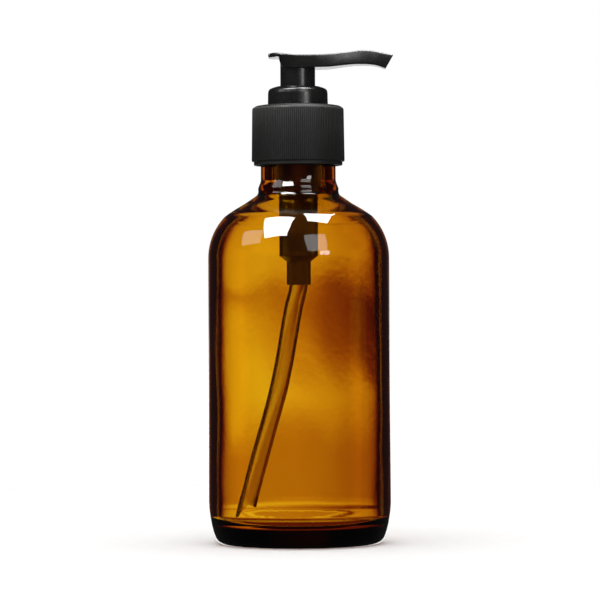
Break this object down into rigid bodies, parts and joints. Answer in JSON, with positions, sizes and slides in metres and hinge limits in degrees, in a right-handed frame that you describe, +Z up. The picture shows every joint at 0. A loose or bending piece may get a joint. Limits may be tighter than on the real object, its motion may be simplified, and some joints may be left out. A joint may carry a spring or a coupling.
{
  "type": "soap pump dispenser",
  "caption": "Round amber glass bottle with a ribbed screw cap and a locked-down lotion pump whose spout points along +X; the head presses, turns and unscrews.",
  "frame": {"origin": "on the bottle's axis, in the plane of the ring that it stands on", "axes": "+Z up along the bottle's axis, +X along the spout, +Y to the back"},
  "size_m": [0.0617, 0.0606, 0.1637],
  "materials": {
    "amber_glass": "clear amber glass, polished",
    "black_plastic": "satin black moulded polypropylene",
    "housing_plastic": "black moulded polypropylene",
    "clear_tube": "clear extruded polyethylene",
    "natural_seal": "natural polyethylene",
    "gasket_foam": "white foamed polyethylene",
    "spring_steel": "drawn stainless wire and polished ball"
  },
  "bodies": {
    "bottle": {"glass_bottle": "amber_glass"},
    "pump": {"pump_housing": "housing_plastic", "neck_gasket": "gasket_foam", "lock_collar": "black_plastic", "dip_tube": "clear_tube", "ball_cage": "natural_seal", "return_spring": "spring_steel"},
    "cap": {"screw_cap": "black_plastic"},
    "plunger": {"stem": "black_plastic", "piston_rod": "housing_plastic"},
    "seal": {"piston": "natural_seal"},
    "head": {"actuator_head": "black_plastic"},
    "ball": {"inlet_ball": "spring_steel"}
  },
  "joints": [
    {"name": "pump_lift", "type": "slide", "parent": "bottle", "child": "pump", "axis": [0, 0, 1], "range_m": [0, 0.00635]},
    {"name": "cap_turn", "type": "hinge", "parent": "pump", "child": "cap", "pos_m": [0, 0, 0.1355], "axis": [0, 0, 1], "range_deg": [0, 540]},
    {"name": "head_press", "type": "slide", "parent": "pump", "child": "plunger", "axis": [0, 0, 1], "range_m": [0, 0.014], "stiffness_N_per_m": 700, "springref_m": 0.021, "deforming": ["return_spring"]},
    {"name": "head_turn", "type": "hinge", "parent": "plunger", "child": "head", "pos_m": [0, 0, 0.155], "axis": [0, 0, 1], "continuous": true},
    {"name": "piston_shift", "type": "slide", "parent": "plunger", "child": "seal", "axis": [0, 0, 1], "range_m": [0, 0.001]},
    {"name": "ball_lift", "type": "slide", "parent": "pump", "child": "ball", "axis": [0, 0, 1], "range_m": [0, 0.0015]}
  ],
  "couplings": [
    {"joint": "pump_lift", "follows": "cap_turn", "m_per_rad": 0.00067375}
  ]
}
